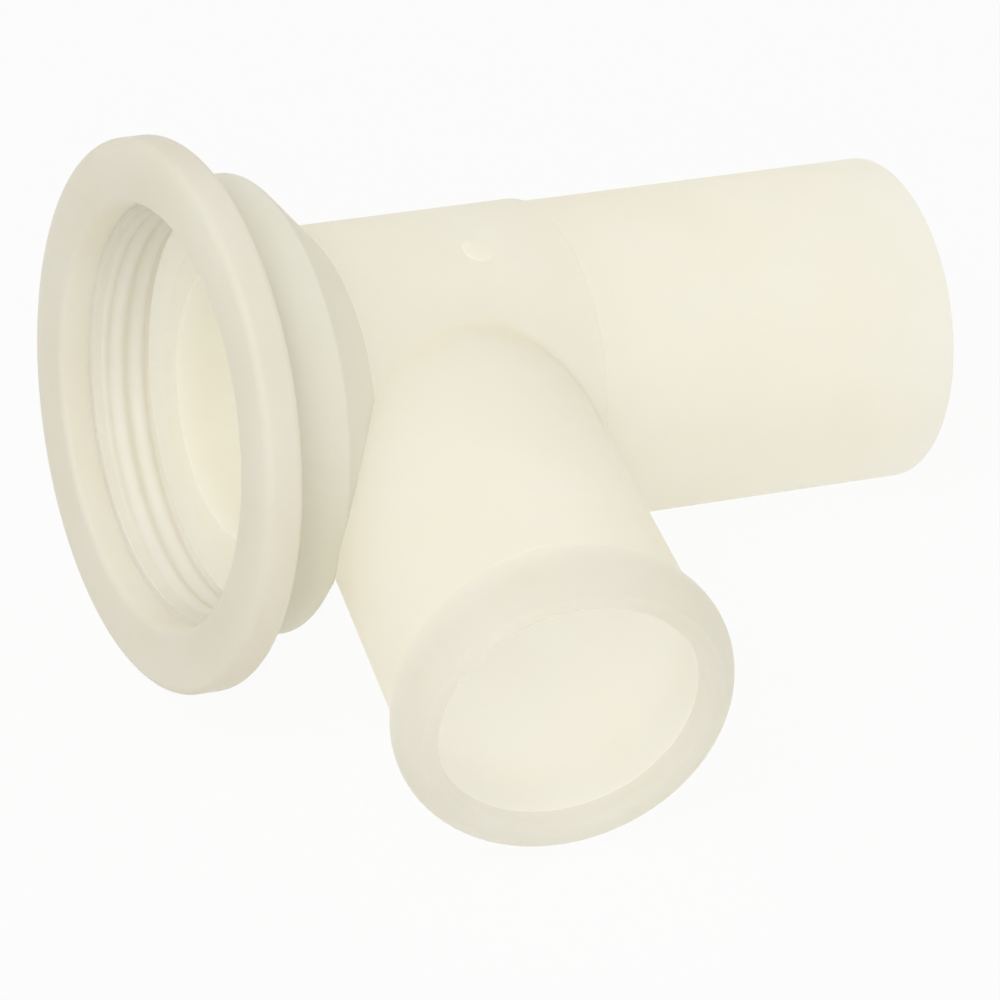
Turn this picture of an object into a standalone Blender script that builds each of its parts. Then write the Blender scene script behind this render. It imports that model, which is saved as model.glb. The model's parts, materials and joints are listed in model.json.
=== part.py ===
# Flanged plastic tee: ridged mouth, collar, body with a leaning side branch, plain run tube.
# Metres, +Z up. The tee lies as it would on a bench, on its flange rim, run end and branch lip.
import math

import bmesh
import bpy
from mathutils import Matrix, Vector

MM = 0.001

# Clearance that bonded pieces keep between their faces
SEAT_GAP = 0.3 * MM

# Mouth flange
FLANGE_RADIUS = 32.0 * MM
FLANGE_THICKNESS = 4.6 * MM
FLANGE_RIM_ROUND = 1.0 * MM
FLANGE_SEAT_WIDTH = 5.4 * MM

# Collar, let into the back of the flange, with a cone down to the body, and the ridged bush in its pocket
COLLAR_RADIUS = FLANGE_RADIUS - FLANGE_SEAT_WIDTH
COLLAR_RECESS = 1.0 * MM
COLLAR_LENGTH = 15.5 * MM
COLLAR_CONE_LENGTH = 6.6 * MM
COLLAR_TIP_WALL = 0.6 * MM
COLLAR_WALL = 1.7 * MM
COLLAR_SEAT_LENGTH = 8.5 * MM
BUSH_RADIUS = COLLAR_RADIUS - COLLAR_WALL - SEAT_GAP
BUSH_WALL = 1.2 * MM
BUSH_BORE = BUSH_RADIUS - BUSH_WALL
BUSH_CHAMFER = 0.4 * MM

# Mouth through the flange, a little narrower than the outside of the bush, so that it holds it in
MOUTH_INSET = 0.1 * MM
MOUTH_RADIUS = BUSH_RADIUS - MOUTH_INSET
MOUTH_EDGE_ROUND = 0.8 * MM

# Body tube and the socket that takes the run tube
BODY_RADIUS = 19.5 * MM
BODY_WALL = 3.5 * MM
BODY_BORE = BODY_RADIUS - BODY_WALL
BODY_LENGTH = 38.3 * MM
BODY_EDGE_ROUND = 0.4 * MM
SOCKET_WALL = 1.5 * MM
SOCKET_RADIUS = BODY_RADIUS - SOCKET_WALL
SOCKET_DEPTH = 8.0 * MM

# Run tube, a small step below the body
RUN_STEP = 0.5 * MM
RUN_RADIUS = BODY_RADIUS - RUN_STEP
RUN_WALL = 3.2 * MM
RUN_BORE = RUN_RADIUS - RUN_WALL
RUN_LENGTH = 45.5 * MM
RUN_END_ROUND = 0.5 * MM

# Side branch, set out from where its axis meets the middle plane of the main tube;
# its outside widens a little from the root to the lip, as moulding draft
BRANCH_SETBACK = 15.0 * MM
BRANCH_STATION = BODY_LENGTH - BRANCH_SETBACK
BRANCH_LEAN = math.radians(8.0)
BRANCH_DROP = 1.2 * MM
BRANCH_INSET = 2.1 * MM
BRANCH_DRAFT = 0.7 * MM
BRANCH_ROOT_WALL = 2.0 * MM
BRANCH_ROOT_RADIUS = BODY_RADIUS - BRANCH_INSET
BRANCH_RADIUS = BRANCH_ROOT_RADIUS + BRANCH_DRAFT
BRANCH_BORE = BRANCH_ROOT_RADIUS - BRANCH_ROOT_WALL
BRANCH_LENGTH = 53.1 * MM

# Neck at the branch's end, and the bead that goes over it
NECK_STEP = 1.4 * MM
NECK_RADIUS = BRANCH_RADIUS - NECK_STEP
NECK_LENGTH = 5.8 * MM
LIP_SWELL = 1.6 * MM
LIP_ROUND = 5.6 * MM
LIP_LENGTH = 8.3 * MM
LIP_MOUTH_STEP = 1.7 * MM
LIP_MOUTH_RADIUS = BRANCH_RADIUS - LIP_MOUTH_STEP
LIP_MOUTH_ROUND = 0.8 * MM

# Mark left by the moulding gate, on top of the body and turned a little towards the branch
GATE_RADIUS = 1.9 * MM
GATE_HEIGHT = 0.35 * MM
GATE_STATION = 26.8 * MM
GATE_TURN = math.radians(5.6)

SEGMENTS = 72
ARC_STEPS = 5
GATE_SEGMENTS = 20
BENCH_TURNS = 30

# Places along the main axis, counted from the flange's face
RECESS_FLOOR = FLANGE_THICKNESS - COLLAR_RECESS
COLLAR_FRONT = RECESS_FLOOR + SEAT_GAP
COLLAR_BACK = COLLAR_FRONT + COLLAR_LENGTH
POCKET_FLOOR = COLLAR_BACK - COLLAR_SEAT_LENGTH
BODY_END = POCKET_FLOOR + BODY_LENGTH
RUN_FRONT = BODY_END + SEAT_GAP
RUN_END = RUN_FRONT + RUN_LENGTH

MAIN_DIRECTION = Vector((1.0, 0.0, 0.0))
MAIN_START = Vector((0.0, 0.0, 0.0))
BRANCH_DIRECTION = Vector((-math.sin(BRANCH_LEAN), -math.cos(BRANCH_LEAN), 0.0))
BRANCH_START = Vector((POCKET_FLOOR + BRANCH_STATION, 0.0, -BRANCH_DROP))

IVORY = (0.84, 0.80, 0.68)
IVORY_SHADE = (0.78, 0.74, 0.61)
TUBE_ROUGHNESS = 0.42
RIM_ROUGHNESS = 0.45
RIDGE_ROUGHNESS = 0.5


def clear_scene():
    for old in list(bpy.data.objects):
        bpy.data.objects.remove(old, do_unlink=True)


def new_collection(name):
    collection = bpy.data.collections.new(name)
    bpy.context.scene.collection.children.link(collection)
    return collection


def moulded_plastic(name, colour, roughness):
    material = bpy.data.materials.new(name)
    material.use_nodes = True
    shader = material.node_tree.nodes["Principled BSDF"]
    shader.inputs["Base Color"].default_value = (*colour, 1.0)
    shader.inputs["Roughness"].default_value = roughness
    shader.inputs["Metallic"].default_value = 0.0
    return material


def arc(centre_radius, centre_place, radius, first_deg, last_deg):
    # Angle 0 points away from the axis, and 90 points on along it
    points = []
    for i in range(ARC_STEPS + 1):
        angle = math.radians(first_deg + (last_deg - first_deg) * i / ARC_STEPS)
        points.append((centre_radius + radius * math.cos(angle), centre_place + radius * math.sin(angle)))
    return points


def place(obj, direction, start, collection, frame):
    collection.objects.link(obj)
    obj.parent = frame
    obj.location = start
    obj.rotation_mode = "QUATERNION"
    obj.rotation_quaternion = direction.to_track_quat("-Z", "Y")


def turned(name, profile, direction, start, material, collection, frame):
    # The profile holds (radius, place along the axis): outer side first to last, then back along the bore
    mesh = bpy.data.meshes.new(name)
    count = len(profile)
    vertices = [(radius, 0.0, -along) for radius, along in profile]
    edges = [(i, (i + 1) % count) for i in range(count)]
    mesh.from_pydata(vertices, edges, [])
    mesh.materials.append(material)
    obj = bpy.data.objects.new(name, mesh)
    place(obj, direction, start, collection, frame)
    screw = obj.modifiers.new("turn", "SCREW")
    screw.axis = "Z"
    screw.steps = SEGMENTS
    screw.render_steps = SEGMENTS
    screw.use_merge_vertices = True
    screw.merge_threshold = 0.00001
    screw.use_smooth_shade = True
    return obj


def rod(name, radius, first, last, segments, direction, start, collection, frame):
    # A plain round bar between two places on its axis, used to cut or to join
    mesh = bpy.data.meshes.new(name)
    shape = bmesh.new()
    middle = Matrix.Translation((0.0, 0.0, -(first + last) / 2))
    bmesh.ops.create_cone(shape, cap_ends=True, segments=segments, radius1=radius, radius2=radius,
                          depth=last - first, matrix=middle)
    shape.to_mesh(mesh)
    shape.free()
    obj = bpy.data.objects.new(name, mesh)
    place(obj, direction, start, collection, frame)
    obj.hide_render = True
    obj.display_type = "WIRE"
    return obj


def combine(obj, other, operation):
    step = obj.modifiers.new(other.name, "BOOLEAN")
    step.operation = operation
    step.object = other
    step.solver = "EXACT"


def spout_radius(along):
    # Outside radius of the branch at a place on its axis: straight through the body, then widening
    share = max(0.0, (along - BODY_RADIUS) / (BRANCH_LENGTH - BODY_RADIUS))
    return BRANCH_ROOT_RADIUS + BRANCH_DRAFT * share


def make_mouth_flange(parts, frame):
    rim = FLANGE_RADIUS - FLANGE_RIM_ROUND
    profile = [(MOUTH_RADIUS + MOUTH_EDGE_ROUND, 0.0)]
    profile += arc(rim, FLANGE_RIM_ROUND, FLANGE_RIM_ROUND, -90, 0)
    profile += arc(rim, FLANGE_THICKNESS - FLANGE_RIM_ROUND, FLANGE_RIM_ROUND, 0, 90)
    recess = COLLAR_RADIUS + SEAT_GAP
    profile += [(recess, FLANGE_THICKNESS), (recess, RECESS_FLOOR), (MOUTH_RADIUS, RECESS_FLOOR)]
    profile += arc(MOUTH_RADIUS + MOUTH_EDGE_ROUND, MOUTH_EDGE_ROUND, MOUTH_EDGE_ROUND, 180, 270)[:-1]
    plastic = moulded_plastic("flange_plastic", IVORY_SHADE, RIM_ROUGHNESS)
    turned("mouth_flange", profile, MAIN_DIRECTION, MAIN_START, plastic, parts, frame)


def make_collar_ring(parts, cutters, frame):
    seat = BODY_RADIUS + SEAT_GAP
    pocket = BUSH_RADIUS + SEAT_GAP
    profile = [
        (COLLAR_RADIUS, COLLAR_FRONT),
        (COLLAR_RADIUS, COLLAR_BACK - COLLAR_CONE_LENGTH),
        (seat + COLLAR_TIP_WALL, COLLAR_BACK),
        (seat, COLLAR_BACK),
        (seat, POCKET_FLOOR),
        (pocket, POCKET_FLOOR),
        (pocket, COLLAR_FRONT),
    ]
    plastic = moulded_plastic("collar_plastic", IVORY, RIM_ROUGHNESS)
    collar = turned("collar_ring", profile, MAIN_DIRECTION, MAIN_START, plastic, parts, frame)
    # The leaning spout passes close behind the flange, so the cone is scalloped to clear it
    relief = rod("spout_relief", spout_radius(COLLAR_RADIUS) + SEAT_GAP, 0.0, BRANCH_LENGTH, SEGMENTS,
                 BRANCH_DIRECTION, BRANCH_START, cutters, frame)
    combine(collar, relief, "DIFFERENCE")


def make_thread_bush(parts, frame):
    front = COLLAR_FRONT
    back = POCKET_FLOOR - SEAT_GAP
    profile = [
        (BUSH_RADIUS, front),
        (BUSH_RADIUS, back),
        (BUSH_BORE, back),
        (BUSH_BORE, front + BUSH_CHAMFER),
        (BUSH_BORE + BUSH_CHAMFER, front),
    ]
    plastic = moulded_plastic("bush_plastic", IVORY_SHADE, RIDGE_ROUGHNESS)
    turned("thread_bush", profile, MAIN_DIRECTION, MAIN_START, plastic, parts, frame)


def make_tee_body(parts, cutters, frame):
    socket_floor = BODY_END - SOCKET_DEPTH
    profile = [(BODY_RADIUS, POCKET_FLOOR)]
    profile += arc(BODY_RADIUS - BODY_EDGE_ROUND, BODY_END - BODY_EDGE_ROUND, BODY_EDGE_ROUND, 0, 90)
    profile += [
        (SOCKET_RADIUS, BODY_END),
        (SOCKET_RADIUS, socket_floor),
        (BODY_BORE, socket_floor),
        (BODY_BORE, POCKET_FLOOR),
    ]
    plastic = moulded_plastic("body_plastic", IVORY, TUBE_ROUGHNESS)
    body = turned("tee_body", profile, MAIN_DIRECTION, MAIN_START, plastic, parts, frame)
    opening = rod("branch_opening", BRANCH_BORE, 0.0, BODY_RADIUS * 2, SEGMENTS,
                  BRANCH_DIRECTION, BRANCH_START, cutters, frame)
    combine(body, opening, "DIFFERENCE")
    gate_start = Vector((POCKET_FLOOR + GATE_STATION, 0.0, 0.0))
    gate_direction = Vector((0.0, -math.sin(GATE_TURN), math.cos(GATE_TURN)))
    gate = rod("gate_mark", GATE_RADIUS, (BODY_RADIUS + BODY_BORE) / 2, BODY_RADIUS + GATE_HEIGHT,
               GATE_SEGMENTS, gate_direction, gate_start, cutters, frame)
    combine(body, gate, "UNION")


def make_run_spigot(parts, frame):
    neck = SOCKET_RADIUS - SEAT_GAP
    neck_front = BODY_END - SOCKET_DEPTH + SEAT_GAP
    profile = [(neck, neck_front), (neck, RUN_FRONT), (RUN_RADIUS, RUN_FRONT)]
    profile += arc(RUN_RADIUS - RUN_END_ROUND, RUN_END - RUN_END_ROUND, RUN_END_ROUND, 0, 90)
    profile += [(RUN_BORE, RUN_END), (RUN_BORE, neck_front)]
    plastic = moulded_plastic("run_plastic", IVORY, TUBE_ROUGHNESS)
    turned("run_spigot", profile, MAIN_DIRECTION, MAIN_START, plastic, parts, frame)


def make_branch_spout(parts, cutters, frame):
    neck_end = BRANCH_LENGTH + NECK_LENGTH
    profile = [
        (BRANCH_ROOT_RADIUS, 0.0),
        (BRANCH_ROOT_RADIUS, BODY_RADIUS),
        (BRANCH_RADIUS, BRANCH_LENGTH),
        (NECK_RADIUS, BRANCH_LENGTH),
        (NECK_RADIUS, neck_end),
        (BRANCH_BORE, neck_end),
        (BRANCH_BORE, 0.0),
    ]
    plastic = moulded_plastic("branch_plastic", IVORY, TUBE_ROUGHNESS)
    spout = turned("branch_spout", profile, BRANCH_DIRECTION, BRANCH_START, plastic, parts, frame)
    saddle = rod("saddle_cut", BODY_RADIUS + SEAT_GAP, -BODY_LENGTH, RUN_END + BODY_LENGTH, SEGMENTS,
                 MAIN_DIRECTION, MAIN_START, cutters, frame)
    combine(spout, saddle, "DIFFERENCE")


def lip_bead():
    # Centre radius and place of the round that makes the bead, and its angle at each end
    centre = BRANCH_RADIUS + LIP_SWELL - LIP_ROUND
    start_angle = math.acos((BRANCH_RADIUS - centre) / LIP_ROUND)
    front = BRANCH_LENGTH + SEAT_GAP
    middle = front + LIP_ROUND * math.sin(start_angle)
    end_angle = math.asin((front + LIP_LENGTH - middle) / LIP_ROUND)
    return centre, middle, -math.degrees(start_angle), math.degrees(end_angle)


def make_branch_lip(parts, frame):
    centre, middle, first_deg, last_deg = lip_bead()
    front = BRANCH_LENGTH + SEAT_GAP
    mouth = front + LIP_LENGTH
    seat = BRANCH_LENGTH + NECK_LENGTH + SEAT_GAP
    over_neck = NECK_RADIUS + SEAT_GAP
    profile = arc(centre, middle, LIP_ROUND, first_deg, last_deg)
    profile += arc(LIP_MOUTH_RADIUS, mouth - LIP_MOUTH_ROUND, LIP_MOUTH_ROUND, 90, 180)
    profile += [(LIP_MOUTH_RADIUS - LIP_MOUTH_ROUND, seat), (over_neck, seat), (over_neck, front)]
    plastic = moulded_plastic("lip_plastic", IVORY_SHADE, RIM_ROUGHNESS)
    turned("branch_lip", profile, BRANCH_DIRECTION, BRANCH_START, plastic, parts, frame)


def bench_rotation():
    # The plane that touches the flange rim, the run end and the lip, found by turning towards it
    centre, middle, _, _ = lip_bead()
    rim_place = MAIN_DIRECTION * (FLANGE_THICKNESS - FLANGE_RIM_ROUND)
    end_place = MAIN_DIRECTION * (RUN_END - RUN_END_ROUND)
    lip_place = BRANCH_START + BRANCH_DIRECTION * middle
    rounds = [
        (rim_place, MAIN_DIRECTION, FLANGE_RADIUS - FLANGE_RIM_ROUND, FLANGE_RIM_ROUND),
        (end_place, MAIN_DIRECTION, RUN_RADIUS - RUN_END_ROUND, RUN_END_ROUND),
        (lip_place, BRANCH_DIRECTION, centre, LIP_ROUND),
    ]
    up = Vector((0.0, 0.0, 1.0))
    for _ in range(BENCH_TURNS):
        touching = []
        for middle_point, axis, radius, edge_round in rounds:
            outward = (up - axis * up.dot(axis)).normalized()
            touching.append(middle_point - outward * radius - up * edge_round)
        up = (touching[1] - touching[0]).cross(touching[0] - touching[2]).normalized()
        if up.z < 0:
            up.negate()
    ahead = (MAIN_DIRECTION - up * MAIN_DIRECTION.dot(up)).normalized()
    return Matrix((ahead, up.cross(ahead), up)).to_quaternion()


def lay_on_bench(parts, frame):
    # Turn the whole tee, then bring the middle of its base to the origin
    frame.rotation_mode = "QUATERNION"
    frame.rotation_quaternion = bench_rotation()
    bpy.context.view_layer.update()
    depsgraph = bpy.context.evaluated_depsgraph_get()
    corners = []
    for obj in parts.objects:
        if obj.type == "MESH":
            solid = obj.evaluated_get(depsgraph)
            corners += [solid.matrix_world @ vertex.co for vertex in solid.data.vertices]
    low = [min(point[i] for point in corners) for i in range(3)]
    high = [max(point[i] for point in corners) for i in range(3)]
    frame.location = (-(low[0] + high[0]) / 2, -(low[1] + high[1]) / 2, -low[2])
    bpy.context.view_layer.update()


def main():
    clear_scene()
    parts = new_collection("flanged_tee")
    cutters = new_collection("cutters")
    frame = bpy.data.objects.new("bench_frame", None)
    parts.objects.link(frame)
    make_mouth_flange(parts, frame)
    make_collar_ring(parts, cutters, frame)
    make_thread_bush(parts, frame)
    make_tee_body(parts, cutters, frame)
    make_run_spigot(parts, frame)
    make_branch_spout(parts, cutters, frame)
    make_branch_lip(parts, frame)
    lay_on_bench(parts, frame)


main()
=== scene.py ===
# Ivory plastic tee lying on a pale studio floor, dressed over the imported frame
import json
import math

import bmesh
import bpy
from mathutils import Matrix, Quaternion, Vector


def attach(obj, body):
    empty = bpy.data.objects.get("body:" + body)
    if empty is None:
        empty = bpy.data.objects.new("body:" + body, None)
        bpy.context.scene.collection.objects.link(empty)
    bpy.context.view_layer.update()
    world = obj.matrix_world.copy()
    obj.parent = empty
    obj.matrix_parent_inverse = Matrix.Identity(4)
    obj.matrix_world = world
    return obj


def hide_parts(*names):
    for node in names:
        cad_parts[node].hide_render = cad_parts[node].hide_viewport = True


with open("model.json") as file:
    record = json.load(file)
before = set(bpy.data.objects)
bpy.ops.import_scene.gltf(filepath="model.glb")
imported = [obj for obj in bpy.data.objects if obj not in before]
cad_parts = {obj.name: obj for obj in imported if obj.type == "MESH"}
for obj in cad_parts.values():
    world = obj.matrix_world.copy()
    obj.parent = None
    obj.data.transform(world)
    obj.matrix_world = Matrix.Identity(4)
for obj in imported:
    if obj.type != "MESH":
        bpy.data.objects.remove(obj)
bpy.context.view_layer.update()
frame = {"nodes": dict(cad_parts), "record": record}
print("stage: frame loaded,", len(frame["nodes"]), "nodes")

mm = 0.001  # every size below is in millimetres


def linearColour(hexText):
    channels = [int(hexText[i:i + 2], 16) / 255 for i in (1, 3, 5)]
    linear = [c / 12.92 if c <= 0.04045 else ((c + 0.055) / 1.055) ** 2.4 for c in channels]
    return (*linear, 1.0)


def addNode(tree, kind, settings=None, values=None, links=None):
    node = tree.nodes.new(kind)
    for key, value in (settings or {}).items():
        setattr(node, key, value)
    for key, value in (values or {}).items():
        node.inputs[key].default_value = value
    for key, source in (links or {}).items():
        tree.links.new(source, node.inputs[key])
    return node


# The two axes of the tee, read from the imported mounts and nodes
mounts = {m["name"]: m for m in frame["record"]["mounts"]}


def nodeCentre(node):
    points = [v.co for v in frame["nodes"][node].data.vertices]
    return sum(points, Vector()) / len(points)


def axisThrough(node, mountName, outward):
    # a turned node's middle lies on its axis; the mount's face gives the direction and where to count from
    direction = Vector(mounts[mountName]["axis"]).normalized() * outward
    centre = nodeCentre(node)
    face = centre + direction * (Vector(mounts[mountName]["pos_m"]) - centre).dot(direction)
    return face, direction


mainStart, mainAxis = axisThrough("mouth_flange", "flange_face", -1)
branchMouth, branchAxis = axisThrough("branch_lip", "branch_mouth", 1)
sideways = (branchAxis - mainAxis * branchAxis.dot(mainAxis)).normalized()
gateAxis = mainAxis.cross(-sideways).normalized()  # square to both tubes, away from the floor
if gateAxis.z < 0:
    gateAxis.negate()

tee = {  # sizes that more than one piece shares
    "segments": 192,
    "rowStep": 1.5,        # longest stretch between rows of faces
    "edgeSteps": 5,        # rows of faces round a small edge
    "sharpDeg": 38,        # corners sharper than this stay crisp in the shading
    "bodyRadius": 19.5,
    "bodyBore": 16.0,
    "bodyFront": 10.9,     # from the flange's face
    "bodyEnd": 49.2,
    "recessFloor": 3.6,    # collar and bush start here, let into the flange's back
    "collarRadius": 26.6,
    "branchReach": 61.7,   # lip's face from the main axis, along the branch
    "rootRadius": 17.4,    # the branch widens from here to its end, as moulding draft
    "branchRadius": 18.1,
    "branchBore": 15.4,
    "branchEnd": 52.6,
    "joint": 0.02,         # pieces meet almost without a gap, as in one moulding
    "bondSlack": 0.06,     # faces this near a joint belong to it
}
branchStart = branchMouth - branchAxis * tee["branchReach"] * mm


def arc(centreRadius, centrePlace, radius, firstDeg, lastDeg, steps=8):
    points = []
    for i in range(steps + 1):
        angle = math.radians(firstDeg + (lastDeg - firstDeg) * i / steps)
        points.append((centreRadius + radius * math.cos(angle), centrePlace + radius * math.sin(angle)))
    return points


def fillIn(profile):
    # long straight stretches get extra rows, so that a cut leaves clean shading
    filled = []
    for i, first in enumerate(profile):
        last = profile[(i + 1) % len(profile)]
        count = max(1, math.ceil(math.dist(first, last) / tee["rowStep"]))
        for k in range(count):
            share = k / count
            radius = first[0] + (last[0] - first[0]) * share
            filled.append((radius, first[1] + (last[1] - first[1]) * share))
    return filled


def ringPiece(name, rings, looped=True):
    # rings of points in space, joined in order; looped joins the last to the first, else both ends are capped
    shape = bmesh.new()
    rows = [[shape.verts.new(point) for point in ring] for ring in rings]
    pairs = list(zip(rows, rows[1:]))
    if looped:
        pairs.append((rows[-1], rows[0]))
    else:
        shape.faces.new(rows[0])
        shape.faces.new(rows[-1])
    for first, last in pairs:
        for i in range(len(first)):
            k = (i + 1) % len(first)
            shape.faces.new((first[i], first[k], last[k], last[i]))
    bmesh.ops.recalc_face_normals(shape, faces=shape.faces)
    mesh = bpy.data.meshes.new(name)
    shape.to_mesh(mesh)
    shape.free()
    mesh.shade_smooth()
    mesh.set_sharp_from_angle(angle=math.radians(tee["sharpDeg"]))
    piece = bpy.data.objects.new(name, mesh)
    bpy.context.scene.collection.objects.link(piece)
    return piece


def crossAxes(axis):
    first = axis.cross(Vector((0, 0, 1))).normalized()
    return first, axis.cross(first).normalized()


def turnRings(profile, start, axis, segments, ripple=None):
    first, second = crossAxes(axis)
    rings = []
    for radius, along in profile:
        ring = []
        for i in range(segments):
            angle = 2 * math.pi * i / segments
            reach = radius + (ripple(radius, along, angle) if ripple else 0.0)
            outward = first * math.cos(angle) + second * math.sin(angle)
            ring.append(start + axis * along * mm + outward * reach * mm)
        rings.append(ring)
    return rings


def turnPiece(name, profile, start, axis, ripple=None):
    return ringPiece(name, turnRings(fillIn(profile), start, axis, tee["segments"], ripple))


def cutAway(piece, cutter):
    step = piece.modifiers.new("cut", "BOOLEAN")
    step.operation = "DIFFERENCE"
    step.object = cutter
    step.solver = "EXACT"
    bpy.context.view_layer.update()
    solid = piece.evaluated_get(bpy.context.evaluated_depsgraph_get())
    mesh = bpy.data.meshes.new_from_object(solid)
    piece.modifiers.clear()
    piece.data = mesh
    bpy.data.objects.remove(cutter, do_unlink=True)


def barAlong(name, radius, first, last, start, axis):
    rings = turnRings([(radius, first), (radius, last)], start, axis, tee["segments"])
    return ringPiece(name, rings, looped=False)


def spoutRadius(along):
    share = max(0.0, (along - tee["bodyRadius"]) / (tee["branchEnd"] - tee["bodyRadius"]))
    return tee["rootRadius"] + (tee["branchRadius"] - tee["rootRadius"]) * min(1.0, share)


def seat(piece, node, material):
    piece.data.materials.clear()
    piece.data.materials.append(material)
    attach(piece, "root")
    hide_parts(node)


def plugSpans(radius, plugEnd, shoulder, inner):
    # a plug in its socket: the wall between them and the plug's end
    slack = tee["bondSlack"]
    first, last = sorted((plugEnd, shoulder))
    return [(radius - slack, radius + slack, first - slack, last + slack),
            (inner + slack, radius, plugEnd - slack, plugEnd + slack)]


def bond(piece, start, axis, spans):
    # faces that lie in a joint, by their distance from the axis and their place along it
    piece.data.materials.append(bondSkin)
    for face in piece.data.polygons:
        offset = (face.center - start) / mm
        along = offset.dot(axis)
        radius = (offset - axis * along).length
        for near, far, first, last in spans:
            if near < radius < far and first < along < last:
                face.material_index = 1


# Natural polypropylene, injection moulded: an unpigmented ivory that lets a little light in,
# so edges glow and hollows turn warm, under a satin skin with the mould's fine grain
moulding = {
    # pale and warm tint of each skin: near white, since light that crosses the walls is tinted many times
    "tubeTint": ("#FCFBF6", "#FBF9F2"),
    "collarTint": ("#FDFCF6", "#FBFAF2"),
    # the rim tint is darker than the tubes': painted shade on the flange's sideways-facing ring and on the
    # mouth's bush
    "rimPaintedShadeTint": ("#F6F4EB", "#F4F0E5"),
    # the lip tint is darker still: painted shade on the branch's lip ring
    "lipPaintedShadeTint": ("#F2F0E9", "#EFEDE4"),
    "mottleSize": 14.0,    # slow drift of colour from the melt's flow
    "grainSize": 0.45,     # spark-eroded mould grain, drawn coarser than the real 0.1 mm so that it shows
    "grainDepth": 0.012,
    "grainStrength": 0.35,
    "mottleDetail": 2.0,
    "rubDetail": 3.0,
    "grainDetail": 1.0,
    "noiseLow": 0.3,       # the noise rarely leaves these two values, so patterns run between them
    "noiseHigh": 0.7,
    "rubSize": 5.0,        # handling marks, as patches of smoother skin
    "roughLow": 0.36,
    "roughHigh": 0.5,
    "tornLow": 0.14,       # plastic torn off at the gate is shinier than the moulded skin
    "tornHigh": 0.24,
    "ior": 1.49,
    "scatterDepth": 1.0,
    "scatterShare": 0.12,
    "scatterSpread": (1.0, 0.82, 0.5),  # red light goes furthest in
    "thinGlow": 0.77,      # share of light that crosses a wall, so bores are nearly as bright as outside
    "thickGlow": 0.5,
    "collarGlow": 0.6,
    "shadeFadeFirst": 52.6,     # the lip's painted shade deepens between these places on the branch
    "shadeFadeLast": 60.0,
    "backedGlow": 0.2,     # the bush has the collar behind it
    "bondTint": ("#FFFFFF", "#FFFFFF"),
    "bondGlow": 1.0,       # where two pieces are bonded the plastic is one, and no skin stops the light
}


def flowTone(tree, mottle, tint):
    paleHex, warmHex = tint
    tone = addNode(tree, "ShaderNodeValToRGB", links={"Fac": mottle.outputs["Fac"]})
    tone.color_ramp.elements[0].position = moulding["noiseLow"]
    tone.color_ramp.elements[0].color = linearColour(warmHex)
    tone.color_ramp.elements[1].position = moulding["noiseHigh"]
    tone.color_ramp.elements[1].color = linearColour(paleHex)
    return tone.outputs["Color"]


def fadeAlong(tree, place, colour, endColour, fade):
    # the colour changes slowly along an axis; on the lip this paints shade into the colour
    along = addNode(tree, "ShaderNodeVectorMath", {"operation": "DOT_PRODUCT"}, {1: fade["axis"]}, {0: place})
    share = addNode(tree, "ShaderNodeMapRange", {"interpolation_type": "SMOOTHSTEP"},
                    {"From Min": fade["first"], "From Max": fade["last"]}, {"Value": along.outputs["Value"]})
    mixed = addNode(tree, "ShaderNodeMix", {"data_type": "RGBA"},
                    links={0: share.outputs["Result"], 6: colour, 7: endColour})
    return mixed.outputs[2]


def noisePattern(tree, place, size, detail):
    return addNode(tree, "ShaderNodeTexNoise", values={"Scale": 1 / (size * mm), "Detail": detail},
                   links={"Vector": place})


def naturalPolypropylene(name, tint, glowShare, rough=None, fade=None):
    low, high = rough or (moulding["roughLow"], moulding["roughHigh"])
    material = bpy.data.materials.new(name)
    material.use_nodes = True
    tree = material.node_tree
    shader = tree.nodes["Principled BSDF"]
    place = addNode(tree, "ShaderNodeTexCoord").outputs["Object"]
    mottle = noisePattern(tree, place, moulding["mottleSize"], moulding["mottleDetail"])
    colour = flowTone(tree, mottle, tint)
    # a fade paints shade into the colour along an axis
    if fade:
        colour = fadeAlong(tree, place, colour, flowTone(tree, mottle, fade["tint"]), fade)
    rub = noisePattern(tree, place, moulding["rubSize"], moulding["rubDetail"])
    skin = addNode(tree, "ShaderNodeMapRange",
                   values={"From Min": moulding["noiseLow"], "From Max": moulding["noiseHigh"],
                           "To Min": low, "To Max": high},
                   links={"Value": rub.outputs["Fac"]})
    grain = noisePattern(tree, place, moulding["grainSize"], moulding["grainDetail"])
    relief = addNode(tree, "ShaderNodeBump",
                     values={"Strength": moulding["grainStrength"], "Distance": moulding["grainDepth"] * mm},
                     links={"Height": grain.outputs["Fac"]})
    tree.links.new(colour, shader.inputs["Base Color"])
    tree.links.new(skin.outputs["Result"], shader.inputs["Roughness"])
    tree.links.new(relief.outputs["Normal"], shader.inputs["Normal"])
    shader.inputs["IOR"].default_value = moulding["ior"]
    shader.inputs["Subsurface Weight"].default_value = moulding["scatterShare"]
    shader.inputs["Subsurface Radius"].default_value = moulding["scatterSpread"]
    shader.inputs["Subsurface Scale"].default_value = moulding["scatterDepth"] * mm
    through = addNode(tree, "ShaderNodeBsdfTranslucent", links={"Color": colour})
    mixed = addNode(tree, "ShaderNodeMixShader", values={0: glowShare},
                    links={1: shader.outputs["BSDF"], 2: through.outputs["BSDF"]})
    tree.links.new(mixed.outputs[0], tree.nodes["Material Output"].inputs["Surface"])
    return material


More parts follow.
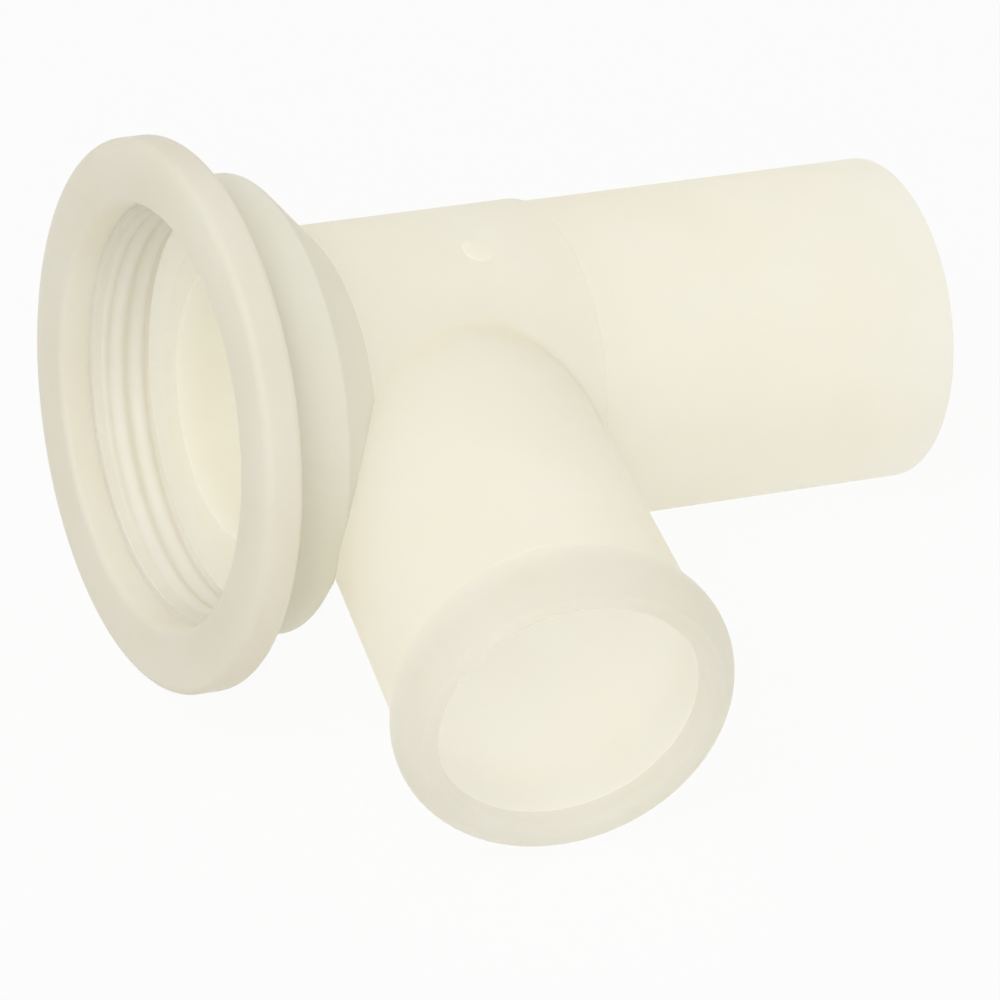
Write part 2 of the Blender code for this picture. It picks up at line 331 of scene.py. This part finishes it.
lipShadeFade = {
    "axis": tuple(branchAxis),
    "first": branchStart.dot(branchAxis) + moulding["shadeFadeFirst"] * mm,
    "last": branchStart.dot(branchAxis) + moulding["shadeFadeLast"] * mm,
    "tint": moulding["lipPaintedShadeTint"],
}
tornRough = (moulding["tornLow"], moulding["tornHigh"])
tubeSkin = naturalPolypropylene("mouldedPolypropyleneTube", moulding["tubeTint"], moulding["thinGlow"])
collarSkin = naturalPolypropylene("mouldedPolypropyleneCollar", moulding["collarTint"],
                                  moulding["collarGlow"])
# the bush and the flange take the darker rim tint, which is painted shade
bushShadedSkin = naturalPolypropylene("mouldedPolypropyleneBushPaintedShade", moulding["rimPaintedShadeTint"], moulding["backedGlow"])
rimShadedSkin = naturalPolypropylene("mouldedPolypropyleneRimPaintedShade", moulding["rimPaintedShadeTint"], moulding["thickGlow"])
lipShadedSkin = naturalPolypropylene("mouldedPolypropyleneLipPaintedShade", moulding["tubeTint"], moulding["thinGlow"],
                               fade=lipShadeFade)
tornSkin = naturalPolypropylene("tornPolypropyleneGate", moulding["tubeTint"], moulding["thinGlow"],
                                rough=tornRough)
bondSkin = naturalPolypropylene("bondedPolypropyleneJoint", moulding["bondTint"], moulding["bondGlow"])
print("stage: materials made")

flange = {
    "radius": 32.0, "thickness": 4.6, "rimRound": 1.0, "mouthRadius": 24.5, "mouthRound": 0.8,
    "clearance": 0.05,
}


def makeFlange():
    rim = flange["radius"] - flange["rimRound"]
    mouth = flange["mouthRadius"] + flange["mouthRound"]
    back = flange["thickness"]
    profile = arc(rim, flange["rimRound"], flange["rimRound"], -90, 0)
    profile += arc(rim, back - flange["rimRound"], flange["rimRound"], 0, 90)
    recess = tee["collarRadius"] + flange["clearance"]
    profile += [(recess, back), (recess, tee["recessFloor"]), (flange["mouthRadius"], tee["recessFloor"])]
    profile += arc(mouth, flange["mouthRound"], flange["mouthRound"], 180, 270)
    seat(turnPiece("mouthFlange", profile, mainStart, mainAxis), "mouth_flange", rimShadedSkin)


collar = {"coneStart": 12.8, "coneEnd": 19.4, "tipRadius": 19.75, "edgeRound": 0.8, "pocket": 24.62}


def makeCollar():
    front = tee["recessFloor"] + tee["joint"]
    hole = tee["bodyRadius"] + tee["joint"]
    rounding = collar["edgeRound"]
    slope = math.atan2(tee["collarRadius"] - collar["tipRadius"], collar["coneEnd"] - collar["coneStart"])
    edge = collar["coneStart"] - rounding * math.tan(slope / 2)
    profile = [(tee["collarRadius"], front)]
    profile += arc(tee["collarRadius"] - rounding, edge, rounding, 0, math.degrees(slope))
    profile += [(collar["tipRadius"], collar["coneEnd"]), (hole, collar["coneEnd"]), (hole, tee["bodyFront"])]
    profile += [(collar["pocket"], tee["bodyFront"]), (collar["pocket"], front)]
    piece = turnPiece("collarRing", profile, mainStart, mainAxis)
    # the scallop clears the spout and the small round at its root
    clear = max(spoutRadius(tee["collarRadius"]), tee["rootRadius"] + spout["filletRound"]) + tee["joint"]
    relief = barAlong("spoutRelief", clear, 0.0, tee["branchEnd"], branchStart, branchAxis)
    cutAway(piece, relief)
    seat(piece, "collar_ring", collarSkin)


bush = {
    "radius": 24.6, "bore": 23.6, "ridgePitch": 2.45, "ridgeHeight": 0.45, "firstRidge": 4.8, "runOut": 0.9,
    "rows": 64, "slack": 0.01,
}


def ridgeRipple(radius, along, angle):
    # a soft screw ridge on the bore alone, fading out at both ends of the bush
    if radius > bush["bore"] + bush["slack"]:
        return 0.0
    nearEnd = min(along - bush["firstRidge"], tee["bodyFront"] - along)
    fade = min(1.0, max(0.0, nearEnd / bush["runOut"]))
    turn = (along - bush["firstRidge"]) / bush["ridgePitch"] - angle / (2 * math.pi)
    return -bush["ridgeHeight"] * fade * (0.5 - 0.5 * math.cos(2 * math.pi * turn))


def makeBush():
    front = tee["recessFloor"] + tee["joint"]
    back = tee["bodyFront"] - tee["joint"]
    rows = bush["rows"]
    bore = [(bush["bore"], back + (front - back) * i / rows) for i in range(rows + 1)]
    profile = [(bush["radius"], front), (bush["radius"], back)] + bore
    piece = ringPiece("threadBush", turnRings(profile, mainStart, mainAxis, tee["segments"], ridgeRipple))
    seat(piece, "thread_bush", bushShadedSkin)


body = {"edgeRound": 0.6, "socketRadius": 17.72, "socketDepth": 8.0}


def runSpans():
    return plugSpans(body["socketRadius"], tee["bodyEnd"] - body["socketDepth"], tee["bodyEnd"],
                     tee["bodyBore"])


def makeBody():
    end = tee["bodyEnd"]
    floor = end - body["socketDepth"]
    profile = [(tee["bodyRadius"], tee["bodyFront"])]
    rounding = body["edgeRound"]
    profile += arc(tee["bodyRadius"] - rounding, end - rounding, rounding, 0, 90, tee["edgeSteps"])
    profile += [(body["socketRadius"], end), (body["socketRadius"], floor)]
    profile += [(tee["bodyBore"], floor), (tee["bodyBore"], tee["bodyFront"])]
    piece = turnPiece("teeBody", profile, mainStart, mainAxis)
    reach = tee["bodyRadius"] * 2
    opening = barAlong("branchOpening", tee["branchBore"], 0.0, reach, branchStart, branchAxis)
    cutAway(piece, opening)
    seat(piece, "tee_body", tubeSkin)
    bond(piece, mainStart, mainAxis, runSpans())


run = {"radius": 19.0, "bore": 15.8, "end": 95.0, "endRound": 0.5, "seatGap": 0.05}


def makeRun():
    neck = body["socketRadius"] - tee["joint"]
    inner = tee["bodyEnd"] - body["socketDepth"] + tee["joint"]
    front = tee["bodyEnd"] + run["seatGap"]
    profile = [(neck, inner), (neck, front), (run["radius"], front)]
    rounding = run["endRound"]
    profile += arc(run["radius"] - rounding, run["end"] - rounding, rounding, 0, 90, tee["edgeSteps"])
    profile += [(run["bore"], run["end"]), (run["bore"], inner)]
    piece = turnPiece("runSpigot", profile, mainStart, mainAxis)
    seat(piece, "run_spigot", tubeSkin)
    bond(piece, mainStart, mainAxis, runSpans())


spout = {"filletRound": 0.35, "filletRows": 6, "rows": 28, "neckRadius": 16.68, "neckLength": 5.8}


def lipSpans():
    return plugSpans(spout["neckRadius"], tee["branchEnd"] + spout["neckLength"], tee["branchEnd"],
                     tee["branchBore"])


def saddleDepth(outward, radius, target):
    # how far along the branch a line at this radius leaves the main tube of the target radius
    offset = branchStart + outward * radius * mm - mainStart
    flat = offset - mainAxis * offset.dot(mainAxis)
    step = branchAxis - mainAxis * branchAxis.dot(mainAxis)
    a = step.length_squared
    b = 2 * flat.dot(step)
    c = flat.length_squared - (target * mm) ** 2
    return (-b + math.sqrt(max(0.0, b * b - 4 * a * c))) / (2 * a) / mm


def makeSpout():
    first, second = crossAxes(branchAxis)
    count = tee["segments"]
    angles = [2 * math.pi * i / count for i in range(count)]
    outward = [first * math.cos(angle) + second * math.sin(angle) for angle in angles]
    target = tee["bodyRadius"] + tee["joint"]
    end = tee["branchEnd"] - tee["joint"]
    rounding = spout["filletRound"]
    rings = []

    def addRing(radii, places):
        rings.append([branchStart + (branchAxis * s + o * r) * mm for o, r, s in zip(outward, radii, places)])

    for k in range(spout["filletRows"] + 1):
        angle = math.pi / 2 * k / spout["filletRows"]
        radius = tee["rootRadius"] + rounding * (1 - math.sin(angle))
        rise = rounding * (1 - math.cos(angle))
        addRing([radius] * count, [saddleDepth(o, radius, target) + rise for o in outward])
    root = [saddleDepth(o, tee["rootRadius"], target) + rounding for o in outward]
    for k in range(1, spout["rows"] + 1):
        share = k / spout["rows"]
        places = [s + (end - s) * share for s in root]
        addRing([spoutRadius(s) for s in places], places)
    neckEnd = end + spout["neckLength"]
    addRing([spout["neckRadius"]] * count, [end] * count)
    addRing([spout["neckRadius"]] * count, [neckEnd] * count)
    inside = [saddleDepth(o, tee["branchBore"], target) for o in outward]
    for k in range(spout["rows"] + 1):
        share = k / spout["rows"]
        addRing([tee["branchBore"]] * count, [neckEnd + (s - neckEnd) * share for s in inside])
    piece = ringPiece("branchSpout", rings)
    seat(piece, "branch_spout", tubeSkin)
    bond(piece, branchStart, branchAxis, lipSpans())


lip = {
    "swell": 1.6, "beadRound": 5.6, "beadPlace": 57.3, "beadSteps": 20, "rootRound": 2.0,
    "mouthRadius": 16.4, "mouthRound": 1.0,
}


def makeLip():
    front = tee["branchEnd"]
    face = tee["branchReach"]
    bead = lip["beadRound"]
    centre = tee["branchRadius"] + lip["swell"] - bead
    # a small hollow leads from the tube into the bead, so that the light rolls over without a line
    hollow = lip["rootRound"]
    hollowCentre = tee["branchRadius"] + hollow
    hollowPlace = lip["beadPlace"] - math.sqrt((bead + hollow) ** 2 - (hollowCentre - centre) ** 2)
    joinDeg = math.degrees(math.acos((hollowCentre - centre) / (bead + hollow)))
    endDeg = math.degrees(math.asin((face - lip["beadPlace"]) / bead))
    overNeck = spout["neckRadius"] + tee["joint"]
    ledge = front + spout["neckLength"] + tee["joint"]
    profile = [(tee["branchRadius"], front)]
    profile += arc(hollowCentre, hollowPlace, hollow, 180, 180 - joinDeg)
    profile += arc(centre, lip["beadPlace"], bead, -joinDeg, endDeg, lip["beadSteps"])[1:]
    profile += arc(lip["mouthRadius"], face - lip["mouthRound"], lip["mouthRound"], 90, 180)
    profile += [(lip["mouthRadius"] - lip["mouthRound"], ledge), (overNeck, ledge), (overNeck, front)]
    piece = turnPiece("branchLip", profile, branchStart, branchAxis)
    seat(piece, "branch_lip", lipShadedSkin)
    bond(piece, branchStart, branchAxis, lipSpans())


gate = {
    "place": 37.7, "turnDeg": 5.6, "radius": 1.9, "height": 0.35, "sunk": 0.4, "domeSteps": 8,
    "segments": 48,
}


def makeGate():
    # what is left where the sprue was twisted off: a low, shiny dome
    base = tee["bodyRadius"]
    profile = [(gate["radius"], base - gate["sunk"])]
    for i in range(gate["domeSteps"]):
        angle = math.pi / 2 * i / gate["domeSteps"]
        profile.append((gate["radius"] * math.cos(angle), base + gate["height"] * math.sin(angle)))
    start = mainStart + mainAxis * gate["place"] * mm
    turn = math.radians(gate["turnDeg"])
    outward = gateAxis * math.cos(turn) + sideways * math.sin(turn)
    piece = ringPiece("gateMark", turnRings(profile, start, outward, gate["segments"]), looped=False)
    piece.data.materials.append(tornSkin)
    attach(piece, "root")


makeFlange()
makeCollar()
makeBush()
makeBody()
makeRun()
makeSpout()
makeLip()
makeGate()
print("stage: pieces made")

studio = {
    "floorHex": "#DCDCD8",
    "floorSize": 3.0,
    "floorRough": 0.9,
    "lampAim": (0, 0, 0.03),
    "floorGlow": 0.93,     # share of plain white that the camera sees in the floor; the rest keeps the shadow
    "roomLight": 0.6,
    "keyPower": 2.9, "keySize": 0.7, "keyPlace": (-0.5, -0.3, 0.85),
    "fillPower": 1.6, "fillSize": 0.5, "fillPlace": (-0.38, -0.72, 0.5),
}


def cameraShare(tree):
    # 1 for what the camera sees directly, in a mirror or through glass
    path = addNode(tree, "ShaderNodeLightPath")
    shiny = addNode(tree, "ShaderNodeMath", {"operation": "MAXIMUM"},
                    links={0: path.outputs["Is Camera Ray"], 1: path.outputs["Is Glossy Ray"]})
    return addNode(tree, "ShaderNodeMath", {"operation": "MAXIMUM"},
                   links={0: shiny.outputs[0], 1: path.outputs["Is Transmission Ray"]}).outputs[0]


def makeFloor():
    shape = bmesh.new()
    bmesh.ops.create_grid(shape, x_segments=4, y_segments=4, size=studio["floorSize"] / 2)
    mesh = bpy.data.meshes.new("studioFloor")
    shape.to_mesh(mesh)
    shape.free()
    floor = bpy.data.objects.new("studioFloor", mesh)
    bpy.context.scene.collection.objects.link(floor)
    material = bpy.data.materials.new("matPaperSweep")
    material.use_nodes = True
    tree = material.node_tree
    shader = tree.nodes["Principled BSDF"]
    shader.inputs["Base Color"].default_value = linearColour(studio["floorHex"])
    shader.inputs["Roughness"].default_value = studio["floorRough"]
    glow = addNode(tree, "ShaderNodeEmission")
    share = addNode(tree, "ShaderNodeMath", {"operation": "MULTIPLY"}, {1: studio["floorGlow"]},
                    {0: cameraShare(tree)})
    mixed = addNode(tree, "ShaderNodeMixShader",
                    links={0: share.outputs[0], 1: shader.outputs["BSDF"], 2: glow.outputs["Emission"]})
    tree.links.new(mixed.outputs[0], tree.nodes["Material Output"].inputs["Surface"])
    mesh.materials.append(material)


def makeRoom():
    world = bpy.data.worlds.new("studioRoom")
    bpy.context.scene.world = world
    world.use_nodes = True
    tree = world.node_tree
    light = tree.nodes["Background"]
    light.inputs["Strength"].default_value = studio["roomLight"]
    light.inputs["Color"].default_value = (1, 1, 1, 1)
    white = addNode(tree, "ShaderNodeBackground", values={"Color": (1, 1, 1, 1), "Strength": 1.0})
    mixed = addNode(tree, "ShaderNodeMixShader",
                    links={0: cameraShare(tree), 1: light.outputs[0], 2: white.outputs[0]})
    tree.links.new(mixed.outputs[0], tree.nodes["World Output"].inputs["Surface"])


def addSoftbox(name, power, size, place):
    lamp = bpy.data.lights.new(name, "AREA")
    lamp.energy = power
    lamp.size = size
    box = bpy.data.objects.new(name, lamp)
    box.location = place
    box.rotation_mode = "QUATERNION"
    box.rotation_quaternion = (Vector(studio["lampAim"]) - Vector(place)).to_track_quat("-Z", "Y")
    bpy.context.scene.collection.objects.link(box)


makeFloor()
makeRoom()
addSoftbox("keySoftbox", studio["keyPower"], studio["keySize"], studio["keyPlace"])
addSoftbox("fillSoftbox", studio["fillPower"], studio["fillSize"], studio["fillPlace"])
print("stage: studio lit")

view = {  # long lens, looking down on the part from the flange's side
    "aim": (-4.6, 10.46, 11.65), "azimuthDeg": -25.3, "elevationDeg": 32.74, "rollDeg": -1.37,
    "distance": 932.5, "lens": 288.0, "sensor": 36.0,
}


def makeCamera():
    azimuth = math.radians(view["azimuthDeg"])
    elevation = math.radians(view["elevationDeg"])
    level = math.cos(elevation)
    ahead = Vector((-math.sin(azimuth) * level, math.cos(azimuth) * level, -math.sin(elevation)))
    lens = bpy.data.cameras.new("photoCamera")
    lens.lens = view["lens"]
    lens.sensor_width = view["sensor"]
    camera = bpy.data.objects.new("photoCamera", lens)
    camera.location = Vector(view["aim"]) * mm - ahead * view["distance"] * mm
    camera.rotation_mode = "QUATERNION"
    roll = Quaternion((0, 0, 1), math.radians(view["rollDeg"]))
    camera.rotation_quaternion = ahead.to_track_quat("-Z", "Y") @ roll
    bpy.context.scene.collection.objects.link(camera)
    bpy.context.scene.camera = camera


makeCamera()
bpy.context.scene.view_settings.view_transform = "Standard"
